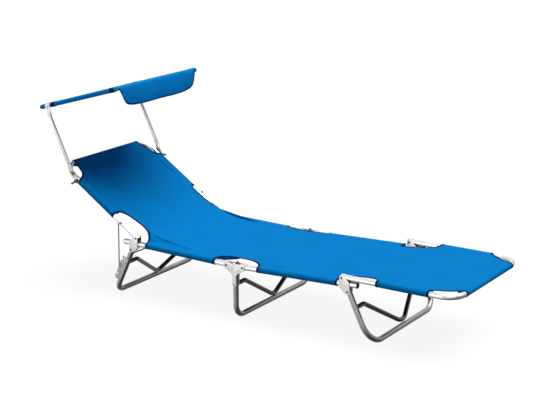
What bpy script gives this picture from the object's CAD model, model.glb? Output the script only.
"""Looks of the sun lounger with canopy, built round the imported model."""

import logging
import math
from dataclasses import dataclass, field
from enum import Enum
from typing import Callable, Iterable, Sequence

import bpy
import numpy as np
from mathutils import Matrix, Vector
from mathutils.geometry import delaunay_2d_cdt

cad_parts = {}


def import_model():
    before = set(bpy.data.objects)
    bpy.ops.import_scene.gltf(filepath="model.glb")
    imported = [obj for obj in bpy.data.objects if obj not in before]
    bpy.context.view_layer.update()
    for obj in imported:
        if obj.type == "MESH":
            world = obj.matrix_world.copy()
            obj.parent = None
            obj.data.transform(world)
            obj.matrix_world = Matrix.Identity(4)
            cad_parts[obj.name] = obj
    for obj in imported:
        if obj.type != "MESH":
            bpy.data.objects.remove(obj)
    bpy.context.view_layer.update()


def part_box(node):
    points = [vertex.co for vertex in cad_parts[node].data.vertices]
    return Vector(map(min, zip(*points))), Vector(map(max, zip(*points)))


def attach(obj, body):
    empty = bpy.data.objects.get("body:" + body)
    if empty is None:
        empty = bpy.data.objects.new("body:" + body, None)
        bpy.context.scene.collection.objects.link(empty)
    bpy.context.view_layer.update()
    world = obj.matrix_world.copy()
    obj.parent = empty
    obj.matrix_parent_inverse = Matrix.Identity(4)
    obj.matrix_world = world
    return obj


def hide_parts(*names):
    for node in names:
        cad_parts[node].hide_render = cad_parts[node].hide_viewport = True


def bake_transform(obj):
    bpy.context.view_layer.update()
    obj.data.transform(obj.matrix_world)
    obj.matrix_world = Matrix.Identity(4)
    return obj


LOG = logging.getLogger("sun_lounger")
MM = 0.001
DARK_SIDE = (0.66, -0.1, -0.74)
EDGE_SIDE = (0.5, 0.53, 0.685)
SIDES = (-1, 1)
BACKREST_LENGTH = 0.444
FOOT_LENGTH = 0.453
BRACE_HEIGHT = 0.143
MERGE_DISTANCE = 0.000002
PATTERN_MAP = "pattern"

Point = tuple[float, float]
Colour = tuple[float, float, float, float]
Piece = bpy.types.Object
Socket = bpy.types.NodeSocket


class Slot(Enum):
    """The record's material slots."""

    TUBE = "tube"
    LEG = "leg_tube"
    PLATE = "plate"
    RIVET = "rivet"
    WIRE = "wire"
    WING = "wing"
    PLUG = "plug"
    CLOTH = "cloth"


# Finishes


class Graph:
    """The node tree of one material, with short ways to add to it."""

    def __init__(self, name: str) -> None:
        """Start a material of that name with a bare principled shader."""
        self.material = bpy.data.materials.new(name)
        self.material.use_nodes = True
        self.tree = self.material.node_tree
        self.shader = self.tree.nodes["Principled BSDF"]

    def add(self, kind: str, inputs: dict | None = None, **settings: object) -> bpy.types.Node:
        """Add a node.

        Args:
            kind: The node's type name.
            inputs: Values or sockets for its inputs, by name or number.
            settings: Attributes of the node.

        Returns:
            The new node.
        """
        node = self.tree.nodes.new(kind)
        for key, value in settings.items():
            setattr(node, key, value)
        for key, value in (inputs or {}).items():
            if isinstance(value, Socket):
                self.tree.links.new(value, node.inputs[key])
            else:
                node.inputs[key].default_value = value
        return node

    def set(self, **values: object) -> None:
        """Set or link the shader's inputs, with underscores for spaces in their names."""
        for key, value in values.items():
            socket = self.shader.inputs[key.replace("_", " ")]
            if isinstance(value, Socket):
                self.tree.links.new(value, socket)
            else:
                socket.default_value = value

    def place(self, stretch: Sequence[float] = (1, 1, 1)) -> Socket:
        """Object coordinates, stretched along each axis."""
        return self.stretched(self.add("ShaderNodeTexCoord").outputs["Object"], stretch)

    def stretched(self, vector: Socket, stretch: Sequence[float]) -> Socket:
        """A place, stretched along each axis."""
        return self.add("ShaderNodeMapping", {"Vector": vector, "Scale": tuple(stretch)}).outputs["Vector"]

    def pattern_place(self) -> tuple[Socket, Socket, Socket]:
        """The flat pattern's own coordinates in metres: the vector, along and across."""
        flat = self.add("ShaderNodeUVMap", uv_map=PATTERN_MAP)
        parts = self.add("ShaderNodeSeparateXYZ", {"Vector": flat.outputs["UV"]})
        return flat.outputs["UV"], parts.outputs["X"], parts.outputs["Y"]

    def facing(self, way: Sequence[float]) -> Socket:
        """How far the surface faces a fixed direction of the room, from -1 to 1."""
        normal = self.add("ShaderNodeNewGeometry").outputs["Normal"]
        product = self.add("ShaderNodeVectorMath", {0: normal, 1: tuple(way)}, operation="DOT_PRODUCT")
        return product.outputs["Value"]

    def noise(self, vector: Socket, scale: float, detail: float = 3.0) -> Socket:
        """A noise value from 0 to 1."""
        node = self.add("ShaderNodeTexNoise", {"Vector": vector, "Scale": scale, "Detail": detail})
        return node.outputs["Fac"]

    def math(self, operation: str, first: object, second: object = 0.0) -> Socket:
        """One step of arithmetic on values or sockets."""
        return self.add("ShaderNodeMath", {0: first, 1: second}, operation=operation).outputs[0]

    def span(self, value: object, low: float, high: float, start: float = 0.0,
             end: float = 1.0) -> Socket:
        """Map a value from start..end to low..high."""
        inputs = {"Value": value, "From Min": start, "From Max": end, "To Min": low, "To Max": high}
        return self.add("ShaderNodeMapRange", inputs).outputs["Result"]

    def blend(self, factor: object, first: object, second: object) -> Socket:
        """Mix two colours by a factor."""
        node = self.add("ShaderNodeMix", {0: factor, 6: first, 7: second}, data_type="RGBA")
        return node.outputs[2]

    def tone(self, value: object, limits: Point, colour: Sequence[float],
             shades: Point) -> Socket:
        """A colour that goes from one shade to another as a value crosses its limits."""
        share = self.span(value, 0.0, 1.0, *limits)
        return self.blend(share, shade_of(colour, shades[0]), shade_of(colour, shades[1]))

    def bump(self, height: Socket, strength: float, distance: float,
             under: Socket | None = None) -> Socket:
        """Turn a height into a normal, over an earlier one where it is given."""
        inputs = {"Height": height, "Strength": strength, "Distance": distance}
        if under is not None:
            inputs["Normal"] = under
        return self.add("ShaderNodeBump", inputs).outputs["Normal"]


def linear(red: int, green: int, blue: int) -> Colour:
    """A screen colour of 0 to 255 as the linear values that a shader takes."""
    values = [c / 255 for c in (red, green, blue)]
    return (*(c / 12.92 if c <= 0.04045 else ((c + 0.055) / 1.055) ** 2.4 for c in values), 1.0)


def shade_of(colour: Sequence[float], factor: float) -> Colour:
    """The same colour made lighter or darker."""
    return (*(min(1.0, c * factor) for c in colour[:3]), 1.0)


@dataclass(frozen=True)
class DrawnMetal:
    """Bare drawn tube or wire: fine lengthwise lines, handling marks and dull patches."""

    name: str
    colour: Colour
    roughness: float = 0.28
    dark: float = 0.35
    line_depth: float = 0.00004

    def material(self) -> bpy.types.Material:
        """Build the node material."""
        g = Graph(self.name)
        where = g.place()
        patches = g.noise(where, 22.0)
        grain = g.noise(where, 900.0, 2.0)
        scratches = g.noise(g.place((60, 900, 900)), 1.0, 2.0)
        colour = g.tone(patches, (0.3, 0.7), self.colour, (0.9, 1.06))
        edge = g.span(g.math("ABSOLUTE", g.facing(EDGE_SIDE)), 0.0, 0.85, 0.84, 0.98)
        colour = g.blend(g.math("MAXIMUM", edge, g.span(g.facing(DARK_SIDE), 0.0, 1.0, 0.0, 0.7)), colour,
                         shade_of(self.colour, self.dark))
        rough = g.math("ADD", g.span(patches, self.roughness - 0.05, self.roughness + 0.07, 0.3, 0.7),
                       g.span(grain, -0.03, 0.05))
        lines = g.bump(scratches, 0.25, self.line_depth)
        g.set(Base_Color=colour, Metallic=1.0, Roughness=rough,
              Normal=g.bump(grain, 0.2, self.line_depth, lines))
        return g.material


@dataclass(frozen=True)
class ZincPlate:
    """Stamped steel with a zinc coat: faint crystals, blotches and a soft shine."""

    name: str
    colour: Colour
    roughness: float = 0.38
    dark: float = 0.3

    def material(self) -> bpy.types.Material:
        """Build the node material."""
        g = Graph(self.name)
        where = g.place()
        crystals = g.add("ShaderNodeTexVoronoi", {"Vector": where, "Scale": 260.0}).outputs["Color"]
        tone = g.add("ShaderNodeSeparateColor", {"Color": crystals}).outputs["Red"]
        blotches = g.noise(where, 60.0)
        mixed = g.math("ADD", g.math("MULTIPLY", tone, 0.35), g.math("MULTIPLY", blotches, 0.65))
        colour = g.tone(mixed, (0.2, 0.8), self.colour, (0.84, 1.08))
        rim = g.math("ABSOLUTE", g.facing((0.0, 1.0, 0.0)))
        colour = g.blend(g.span(rim, 1.0, 0.0, 0.3, 0.9), colour, shade_of(self.colour, self.dark))
        rough = g.span(mixed, self.roughness - 0.08, self.roughness + 0.1, 0.2, 0.8)
        dents = g.bump(blotches, 0.12, 0.0004)
        g.set(Base_Color=colour, Metallic=0.9, Roughness=rough,
              Normal=g.bump(g.noise(where, 1500.0, 2.0), 0.15, 0.00005, dents))
        return g.material


@dataclass(frozen=True)
class MouldedPlastic:
    """Moulded plastic with a fine spark-eroded grain and lighter rubbed spots."""

    name: str
    colour: Colour
    roughness: float = 0.5

    def material(self) -> bpy.types.Material:
        """Build the node material."""
        g = Graph(self.name)
        where = g.place()
        grain = g.noise(where, 1800.0, 2.0)
        rubbed = g.noise(where, 90.0)
        colour = g.blend(g.span(rubbed, 0.0, 1.0, 0.35, 0.75), self.colour, shade_of(self.colour, 1.6))
        g.set(Base_Color=colour, Roughness=g.span(grain, self.roughness - 0.08, self.roughness + 0.12),
              Normal=g.bump(grain, 0.35, 0.00006))
        return g.material


@dataclass(frozen=True)
class WovenCloth:
    """Coated polyester cloth in plain weave, with the seam lines sewn along its sleeves."""

    name: str
    colour: Colour
    pitch: float = 0.0011
    seams_across: tuple[float, ...] = ()
    stitch: float = 0.0036

    def seam(self, g: Graph, measured: Socket, run: Socket,
             station: float) -> tuple[Socket, Socket]:
        """One sewn line.

        Args:
            g: The material's graph.
            measured: The coordinate that the line stands at.
            run: The coordinate that the stitches follow.
            station: Where the line is, in metres on the flat pattern.

        Returns:
            The stitches as a mask, and the groove that they pull into the cloth.
        """
        away = g.math("ABSOLUTE", g.math("SUBTRACT", measured, station))
        near = g.math("LESS_THAN", away, 0.0005)
        thread = g.math("LESS_THAN", g.math("FRACT", g.math("DIVIDE", run, self.stitch)), 0.72)
        return g.math("MULTIPLY", near, thread), g.span(away, 1.0, 0.0, 0.0, 0.003)

    def material(self) -> bpy.types.Material:
        """Build the node material."""
        g = Graph(self.name)
        flat, along, across = g.pattern_place()
        turn = math.pi / self.pitch
        warp = g.math("SINE", g.math("MULTIPLY", along, turn))
        weft = g.math("SINE", g.math("MULTIPLY", across, turn))
        over = g.math("GREATER_THAN", g.math("MULTIPLY", warp, weft), 0.0)
        lift = g.math("ADD", g.math("MULTIPLY", g.math("ABSOLUTE", warp), over),
                      g.math("MULTIPLY", g.math("ABSOLUTE", weft), g.math("SUBTRACT", 1.0, over)))
        slubs = g.noise(g.stretched(flat, (40, 900, 1)), 1.0, 2.0)
        bands = g.noise(g.stretched(flat, (900, 40, 1)), 1.0, 2.0)
        fade = g.noise(flat, 7.0)
        tone = g.math("ADD", g.math("MULTIPLY", fade, 0.5),
                      g.math("MULTIPLY", g.math("ADD", slubs, bands), 0.25))
        colour = g.tone(tone, (0.35, 0.65), self.colour, (0.93, 1.07))
        colour = g.blend(g.span(lift, 0.0, 1.0, 0.0, 0.6), shade_of(self.colour, 0.82), colour)
        far_out = g.math("ABSOLUTE", across)
        sewn = [self.seam(g, far_out, along, station) for station in self.seams_across]
        normal = g.bump(lift, 0.3, 0.00025)
        for mask, groove in sewn:
            colour = g.blend(g.math("MULTIPLY", groove, 0.25), colour, shade_of(self.colour, 0.45))
            colour = g.blend(mask, colour, shade_of(self.colour, 0.55))
            normal = g.bump(g.math("SUBTRACT", g.math("MULTIPLY", mask, 0.6), groove), 0.6, 0.0006, normal)
        soft = g.noise(flat, 34.0, 4.0)
        normal = g.bump(soft, 0.25, 0.0012, normal)
        g.set(Base_Color=colour, Roughness=g.span(slubs, 0.8, 0.92), Specular_IOR_Level=0.04, Normal=normal)
        return g.material


@dataclass(frozen=True)
class RibbedTape:
    """Woven edging tape: cross ribs, a sewn line and slightly faded folds."""

    name: str
    colour: Colour
    rib: float = 0.0012
    stitch: float = 0.0034
    stitch_line: float = 0.0062

    def material(self) -> bpy.types.Material:
        """Build the node material."""
        g = Graph(self.name)
        flat, along, across = g.pattern_place()
        ribs = g.math("ABSOLUTE", g.math("SINE", g.math("MULTIPLY", along, math.pi / self.rib)))
        fade = g.noise(flat, 60.0)
        away = g.math("ABSOLUTE", g.math("SUBTRACT", across, self.stitch_line))
        thread = g.math("MULTIPLY", g.math("LESS_THAN", away, 0.0005),
                        g.math("LESS_THAN", g.math("FRACT", g.math("DIVIDE", along, self.stitch)), 0.7))
        colour = g.tone(fade, (0.3, 0.7), self.colour, (0.8, 1.25))
        colour = g.blend(g.span(ribs, 0.0, 1.0, 0.0, 0.5), shade_of(self.colour, 0.7), colour)
        colour = g.blend(thread, colour, shade_of(self.colour, 2.2))
        normal = g.bump(ribs, 0.4, 0.0002)
        g.set(Base_Color=colour, Roughness=g.span(fade, 0.8, 0.92), Specular_IOR_Level=0.06,
              Normal=g.bump(thread, 0.5, 0.0004, normal))
        return g.material


# Directions and places


@dataclass(frozen=True)
class Bearing:
    """The origin of one section and the way that it runs outward and upward."""

    origin: Vector
    out: Vector
    up: Vector

    @classmethod
    def tilted(cls, origin: Vector, angle: float, turned: bool) -> "Bearing":
        """A section whose outward end rises by an angle in degrees, on the head side where turned."""
        way = -1.0 if turned else 1.0
        c, s = math.cos(math.radians(angle)), math.sin(math.radians(angle))
        return cls(origin, Vector((way * c, 0, s)), Vector((-way * s, 0, c)))

    @property
    def across(self) -> Vector:
        """The direction of the section's own y axis."""
        return self.up.cross(self.out)

    @property
    def matrix(self) -> Matrix:
        """From the section's own axes to the part's frame."""
        turn = Matrix((self.out, self.across, self.up)).transposed().to_4x4()
        return Matrix.Translation(self.origin) @ turn

    def at(self, along: float, y: float = 0.0, rise: float = 0.0) -> Vector:
        """A place in the part's frame from the section's own x, y and z."""
        return self.origin + self.out * along + self.across * y + self.up * rise

    def side_name(self, side: int) -> str:
        """Which side of the bed a local side is on: near is towards the viewer."""
        return "near" if self.across.y * side < 0 else "far"


def clamp(value: float) -> float:
    """The value, kept between 0 and 1."""
    return min(1.0, max(0.0, value))


def middle_of(node: str) -> Vector:
    """The middle of a CAD node's box, on the bed's centre plane."""
    low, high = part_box(node)
    return Vector(((low[0] + high[0]) / 2, 0.0, (low[2] + high[2]) / 2))


@dataclass
class Layout:
    """Where each section stands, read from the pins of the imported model."""

    rail_y: float = 0.269
    ear_half_spacing: float = 0.037
    hinge_station: float = 0.435
    leg_station: float = 0.459
    section_pitch: float = 1.58
    backrest_pitch: float = 34.0
    foot_pitch: float = -0.5214
    leg_lean: float = 25.5
    arm_lean: float = 26.0
    arm_length: float = 0.327
    canopy_pitch: float = 16.0
    stay_station: float = 0.096
    arm_station: float = 0.353
    notch: Point = (0.0175, -0.095)
    sections: dict[str, Bearing] = field(default_factory=dict)

    def __getitem__(self, section: str) -> Bearing:
        """One section by its name."""
        return self.sections[section]

    def read(self) -> "Layout":
        """Find the pins and set each section on its own."""
        seat_ear, middle_ear = middle_of("seat_ear_pin_near"), middle_of("middle_ear_pin_near")
        self.centre_x = (seat_ear.x + middle_ear.x) / 2
        made = self.sections
        made["middle_leg"] = Bearing.tilted(Vector((self.centre_x, 0, 0)), 0, False)
        made["seat"] = Bearing.tilted(seat_ear, self.section_pitch, True)
        made["middle"] = Bearing.tilted(middle_ear, self.section_pitch, False)
        made["backrest"] = Bearing.tilted(middle_of("backrest_pin_near"), self.backrest_pitch, True)
        made["foot"] = Bearing.tilted(middle_of("foot_pin_near"), self.foot_pitch, False)
        made["head_leg"] = Bearing.tilted(middle_of("head_leg_pin_near"), self.leg_lean, True)
        made["foot_leg"] = Bearing.tilted(middle_of("foot_leg_pin_near"), self.leg_lean, False)
        made["canopy_arms"] = Bearing.tilted(made["backrest"].at(self.arm_station), -self.arm_lean, True)
        arm_top = made["canopy_arms"].at(0, 0, self.arm_length)
        made["canopy"] = Bearing.tilted(arm_top, -self.canopy_pitch, True)
        pin = made["backrest"].at(self.stay_station)
        line = made["head_leg"].at(self.notch[0], 0, self.notch[1]) - pin
        self.stay_length = line.length
        made["stay"] = Bearing.tilted(pin, math.degrees(math.atan2(-line.x, -line.z)), True)
        return self


# Hand work in edit mode


def deselect() -> None:
    """Leave edit mode and select nothing."""
    if bpy.context.object is not None and bpy.context.object.mode != "OBJECT":
        bpy.ops.object.mode_set(mode="OBJECT")
    bpy.ops.object.select_all(action="DESELECT")


def choose(piece: Piece) -> None:
    """Make one object the only selected and active one."""
    deselect()
    piece.select_set(True)
    bpy.context.view_layer.objects.active = piece


def edit(piece: Piece) -> None:
    """Enter edit mode on a piece with all of it selected."""
    choose(piece)
    bpy.ops.object.mode_set(mode="EDIT")
    bpy.ops.mesh.select_all(action="SELECT")


def settle(piece: Piece, name: str, smooth: float = 40.0) -> Piece:
    """Apply a piece's place to its mesh, shade it and name it.

    Args:
        piece: The piece, in object or edit mode.
        name: Its new name.
        smooth: The largest angle in degrees that is shaded round.

    Returns:
        The piece.
    """
    choose(piece)
    bpy.ops.object.transform_apply(location=True, rotation=True, scale=True)
    bpy.ops.object.shade_smooth_by_angle(angle=math.radians(smooth))
    piece.name = name
    piece.data.name = name
    return piece


def close_skin(piece: Piece, capped: bool) -> None:
    """In edit mode, merge doubles, close open ends where asked and turn the faces outward."""
    bpy.ops.mesh.select_all(action="SELECT")
    bpy.ops.mesh.remove_doubles(threshold=MERGE_DISTANCE)
    if capped:
        bpy.ops.mesh.fill_holes(sides=0)
    bpy.ops.mesh.select_all(action="SELECT")
    bpy.ops.mesh.normals_make_consistent(inside=False)
    bpy.ops.object.mode_set(mode="OBJECT")


def finish_with(piece: Piece, kind: str, **settings: object) -> None:
    """Add a modifier and apply it."""
    choose(piece)
    bpy.ops.object.modifier_add(type=kind)
    modifier = piece.modifiers[-1]
    for key, value in settings.items():
        setattr(modifier, key, value)
    bpy.ops.object.modifier_apply(modifier=modifier.name)


def join(pieces: Sequence[Piece], name: str) -> Piece:
    """Join pieces into the first one."""
    choose(pieces[0])
    for piece in pieces:
        piece.select_set(True)
    if len(pieces) > 1:
        bpy.ops.object.join()
    pieces[0].name = name
    pieces[0].data.name = name
    return pieces[0]


def copy_of(piece: Piece, name: str, matrix: Matrix | None = None) -> Piece:
    """A copy with a mesh of its own, moved by a matrix."""
    twin = piece.copy()
    twin.data = piece.data.copy()
    twin.name = name
    twin.data.name = name
    bpy.context.collection.objects.link(twin)
    if matrix is not None:
        twin.data.transform(matrix)
        if matrix.determinant() < 0:
            twin.data.flip_normals()
    return twin


def discard(*pieces: Piece) -> None:
    """Delete patterns that have been copied."""
    for piece in pieces:
        bpy.data.objects.remove(piece, do_unlink=True)


def moved(x: float, y: float, z: float) -> Matrix:
    """A shift in metres."""
    return Matrix.Translation((x, y, z))


def half_turn(side: int) -> Matrix:
    """Half a turn about x for the negative side, and none for the other."""
    return Matrix.Rotation(math.pi if side < 0 else 0, 4, "X")


@dataclass
class BentTube:
    """A round tube or rod, drawn along straights and bent between them."""

    radius: float
    wall: float
    corners: Sequence[Vector]
    bends: Sequence[float] = ()
    sides: int = 28
    step: float = 7.5

    def build(self, name: str, bearing: Bearing | None = None) -> Piece:
        """Draw and bend the tube.

        Args:
            name: The piece's name.
            bearing: The section whose axes the corners are given in.

        Returns:
            The finished tube, closed at its ends where it has no wall.
        """
        corners = [Vector(c) for c in self.corners]
        ways = [(b - a).normalized() for a, b in zip(corners, corners[1:])]
        bends = list(self.bends) or [0.0] * (len(corners) - 2)
        deselect()
        bpy.ops.mesh.primitive_circle_add(vertices=self.sides, radius=self.radius, fill_type="NOTHING",
                                          location=corners[0],
                                          rotation=ways[0].to_track_quat("Z", "Y").to_euler())
        tube = bpy.context.object
        bpy.ops.object.transform_apply(location=True, rotation=True, scale=True)
        edit(tube)
        place = corners[0]
        for i, way in enumerate(ways):
            angle = way.angle(ways[i + 1]) if i < len(bends) else 0.0
            setback = bends[i] * math.tan(angle / 2) if i < len(bends) else 0.0
            run = way * ((corners[i + 1] - place).dot(way) - setback)
            if run.length > 1e-7:
                bpy.ops.mesh.extrude_region_move(TRANSFORM_OT_translate={"value": run})
            place = place + run
            if setback > 0:
                axis = way.cross(ways[i + 1]).normalized()
                centre = place + axis.cross(way) * bends[i]
                steps = max(3, math.ceil(math.degrees(angle) / self.step))
                bpy.ops.mesh.spin(steps=steps, angle=-angle, center=centre, axis=axis, dupli=False)
                place = centre + Matrix.Rotation(angle, 3, axis) @ (place - centre)
        close_skin(tube, capped=self.wall <= 0)
        if self.wall > 0:
            finish_with(tube, "SOLIDIFY", thickness=self.wall, offset=-1.0)
        if bearing is not None:
            tube.matrix_world = bearing.matrix
        return settle(tube, name)


def turned(name: str, profile: Sequence[Point], steps: int = 24) -> Piece:
    """A round piece, turned about its own y axis.

    Args:
        name: The piece's name.
        profile: Radius and y of each point of its outline, from end to end.
        steps: How many steps the turn takes.

    Returns:
        The piece at the origin.
    """
    deselect()
    bpy.ops.mesh.primitive_plane_add(size=0.001)
    piece = bpy.context.object
    edit(piece)
    bpy.ops.mesh.merge(type="CENTER")
    radius, y = profile[0]
    bpy.ops.transform.translate(value=(radius, y, 0))
    for next_radius, next_y in profile[1:]:
        step = (next_radius - radius, next_y - y, 0)
        bpy.ops.mesh.extrude_vertices_move(TRANSFORM_OT_translate={"value": step})
        radius, y = next_radius, next_y
    bpy.ops.mesh.select_all(action="SELECT")
    bpy.ops.mesh.spin(steps=steps, angle=2 * math.pi, center=(0, 0, 0), axis=(0, 1, 0), dupli=False)
    close_skin(piece, capped=False)
    return settle(piece, name)


def dome(radius: float, base: float, rise: float, outward: int) -> list[Point]:
    """Points of a rivet head from its crown at the axis to its rim."""
    return [(radius * math.sin(math.radians(t)), base + outward * rise * math.cos(math.radians(t)))
            for t in (0, 18, 36, 54, 72, 90)]


@dataclass(frozen=True)
class Rivet:
    """A rivet along y with a domed head at each end."""

    shank: float = 0.0021
    head: float = 0.0046
    rise: float = 0.0017

    def build(self, low: float, high: float) -> Piece:
        """Make the rivet between the two faces that it clamps."""
        profile = [*dome(self.head, low, self.rise, -1), (self.shank, low), (self.shank, high),
                   *reversed(dome(self.head, high, self.rise, 1))]
        return turned("rivet", profile)

    def wide(self, shank: float) -> "Rivet":
        """The same form on a thicker shank."""
        factor = shank / self.shank
        return Rivet(shank, self.head * factor, self.rise)


RIVET = Rivet()


def rounded(corners: Sequence[tuple[float, float, float]], steps: int = 5) -> list[Point]:
    """Round the corners of a closed outline.

    Args:
        corners: x, y and radius of each corner.
        steps: Points on each rounded corner.

    Returns:
        The outline's points.
    """
    points: list[Point] = []
    count = len(corners)
    for i, (x, y, radius) in enumerate(corners):
        here = Vector((x, y))
        if radius <= 0:
            points.append((x, y))
            continue
        before = Vector(corners[i - 1][:2]) - here
        after = Vector(corners[(i + 1) % count][:2]) - here
        reach = min(radius, before.length / 2, after.length / 2)
        start, end = here + before.normalized() * reach, here + after.normalized() * reach
        for k in range(steps + 1):
            t = k / steps
            spot = start * (1 - t) ** 2 + here * 2 * t * (1 - t) + end * t ** 2
            points.append((spot.x, spot.y))
    return points


def stamped(name: str, outline: Sequence[Point], low: float, high: float,
            edge: float = 0.0004) -> Piece:
    """A flat plate stamped to an outline in the xz plane, with broken edges.

    Args:
        name: The piece's name.
        outline: x and z of its points.
        low: The y of one face.
        high: The y of the other.
        edge: The width of the broken edge.

    Returns:
        The plate at the origin.
    """
    deselect()
    bpy.ops.mesh.primitive_circle_add(vertices=len(outline), radius=0.01, fill_type="NGON")
    plate = bpy.context.object
    for vertex, (x, z) in zip(plate.data.vertices, outline):
        vertex.co = (x, min(low, high), z)
    edit(plate)
    bpy.ops.mesh.extrude_region_move(TRANSFORM_OT_translate={"value": (0, abs(high - low), 0)})
    close_skin(plate, capped=False)
    finish_with(plate, "BEVEL", width=edge, segments=2, limit_method="ANGLE", angle_limit=math.radians(50))
    return settle(plate, name, 30.0)


@dataclass
class Fitter:
    """Sets finished pieces on their bodies and gives them their finish."""

    finishes: dict[str, bpy.types.Material]

    def dress(self, piece: Piece, finish: str) -> None:
        """Give a piece one finish all over, and the finish's slot."""
        piece.data.materials.clear()
        piece.data.materials.append(self.finishes[finish])

    def fit(self, piece: Piece, body: str, node: str, finish: str) -> None:
        """Put a rigid piece in the place of a CAD node.

        Args:
            piece: The finished piece.
            body: The body that it moves with.
            node: The node that it stands for.
            finish: The name of its finish.
        """
        self.dress(piece, finish)
        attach(piece, body)
        piece.name = f"fine_{node}"
        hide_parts(node)


# Frame


@dataclass
class TubeSizes:
    """Sizes that the frame's tubes share."""

    radius: float = 0.011
    wall: float = 0.0012
    gap: float = 0.0003
    plate: float = 0.002
    bend: float = 0.065
    rail_start: float = -0.014
    rail_end: float = 0.495
    nose: float = 0.006
    nose_radius: float = 0.0132
    hinge_rise: float = 0.0245
    leg_drop: float = 0.027
    plug_slack: float = 0.00035

    @property
    def bore(self) -> float:
        """The radius of a plug's shank inside a tube."""
        return self.radius - self.wall - self.plug_slack

    @property
    def inner_face(self) -> float:
        """From a rail's axis to the plate beside it."""
        return self.radius + self.gap

    @property
    def outer_face(self) -> float:
        """From a rail's axis to the plate's far face."""
        return self.inner_face + self.plate


@dataclass
class HalfFrame:
    """The two rails of one half of the bed, with hinge plates, pins and plugs."""

    section: str
    hinge: str
    frame: str
    leg: str
    sizes: TubeSizes = field(default_factory=TubeSizes)
    margin: float = 0.009
    corner: float = 0.009
    plug_depth: float = 0.014
    plug_head: float = 0.003

    def outline(self, layout: Layout) -> list[Point]:
        """The hinge plate's outline on the section's own axes."""
        left, right = layout.hinge_station - self.margin, layout.leg_station + self.margin
        top, bottom = self.sizes.hinge_rise + self.margin, -self.sizes.leg_drop - self.margin
        c = self.corner
        return rounded([
            (left, top, c), (left, -self.sizes.leg_drop / 2, c),
            (layout.leg_station - self.margin, bottom, c), (right, bottom, c),
            (right, self.margin, c), (layout.hinge_station + self.margin, top, c),
        ])

    def build(self, layout: Layout, fitter: Fitter) -> None:
        """Make each kind of piece once and set its copies on both sides."""
        s, where = self.sizes, layout[self.section]
        low, high = s.inner_face, s.outer_face
        stations = (layout.hinge_station, layout.leg_station)
        rail = BentTube(s.radius, s.wall, [(s.rail_start, 0, 0), (s.rail_end, 0, 0)]).build("rail")
        plate = stamped("hinge_plate", self.outline(layout), low, high)
        rivets = [Rivet().build(-high, high - 2 * s.gap) for _ in stations]
        for rivet, x in zip(rivets, stations):
            rivet.data.transform(moved(x, 0, 0))
        outer = join([copy_of(plate, "outer_plate"), *rivets], "outer_plate")
        pin = Rivet().build(-high - s.gap, high + s.gap)
        bore, start, head = s.bore, s.rail_end + s.gap, self.plug_head
        plug = turned("rail_plug", [
            (0, start - self.plug_depth), (bore, start - self.plug_depth), (bore, start), (s.radius, start),
            (s.radius, start + head * 0.45), (s.radius - 0.0006, start + head * 0.75),
            (s.radius - 0.0018, start + head * 0.96), (s.radius - 0.003, start + head), (0, start + head)])
        plug.data.transform(Matrix.Rotation(-math.pi / 2, 4, "Z"))
        for side in SIDES:
            label = where.side_name(side)
            mirror = Matrix.Diagonal((1, side, 1, 1))
            base = where.matrix @ moved(0, side * layout.rail_y, 0)
            made = [
                (rail, base, f"{self.section}_rail_{label}", "bright_tube"),
                (outer, base @ mirror, f"{self.hinge}_plate_{label}_outer", "zinc_plate"),
                (plate, base @ Matrix.Diagonal((1, -side, 1, 1)), f"{self.hinge}_plate_{label}_inner",
                 "zinc_plate"),
                (plug, base, f"{self.section}_rail_plug_{label}", "black_plug"),
                (pin, base @ moved(layout.hinge_station, 0, s.hinge_rise),
                 f"{self.frame}_pin_{label}", "rivet_metal"),
                (pin, base @ moved(layout.leg_station, 0, -s.leg_drop),
                 f"{self.leg}_pin_{label}", "rivet_metal"),
            ]
            for pattern, matrix, node, finish in made:
                fitter.fit(copy_of(pattern, node, matrix), self.section, node, finish)
        discard(rail, plate, outer, pin, plug)


@dataclass
class SwingFrame:
    """The bent tube of the backrest or of the foot section, with the plugs in its ends."""

    section: str
    length: float
    sizes: TubeSizes = field(default_factory=TubeSizes)

    def end_plug(self) -> Piece:
        """A plug whose nose is rounded, so that it clears the rail below it."""
        s = self.sizes
        bore, start = s.bore, -s.nose - s.gap
        tip = -s.nose_radius
        plug = turned("end_plug", [
            (0, tip), (0.0045, tip + 0.0004), (0.0078, tip + 0.0016), (0.0098, tip + 0.0034),
            (s.radius, start - 0.0008), (s.radius, start), (bore, start), (bore, -0.0027), (0, -0.0027)])
        plug.data.transform(Matrix.Rotation(-math.pi / 2, 4, "Z"))
        return plug

    def build(self, layout: Layout, fitter: Fitter, extras: Sequence[Piece] = ()) -> None:
        """Bend the tube and set it and its plugs in place, with extra parts joined to it."""
        s, where, y = self.sizes, layout[self.section], layout.rail_y
        corners = [(-s.nose, -y, 0), (self.length, -y, 0), (self.length, y, 0), (-s.nose, y, 0)]
        bent = BentTube(s.radius, s.wall, corners, (s.bend, s.bend), sides=32, step=5.0)
        tube = bent.build("frame_tube", where)
        join([tube, *extras], f"{self.section}_tube")
        fitter.fit(tube, self.section, f"{self.section}_tube", "bright_tube")
        plug = self.end_plug()
        for side in SIDES:
            node = f"{self.section}_plug_{where.side_name(side)}"
            matrix = where.matrix @ moved(0, side * y, 0)
            fitter.fit(copy_of(plug, node, matrix), self.section, node, "black_plug")
        discard(plug)


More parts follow.
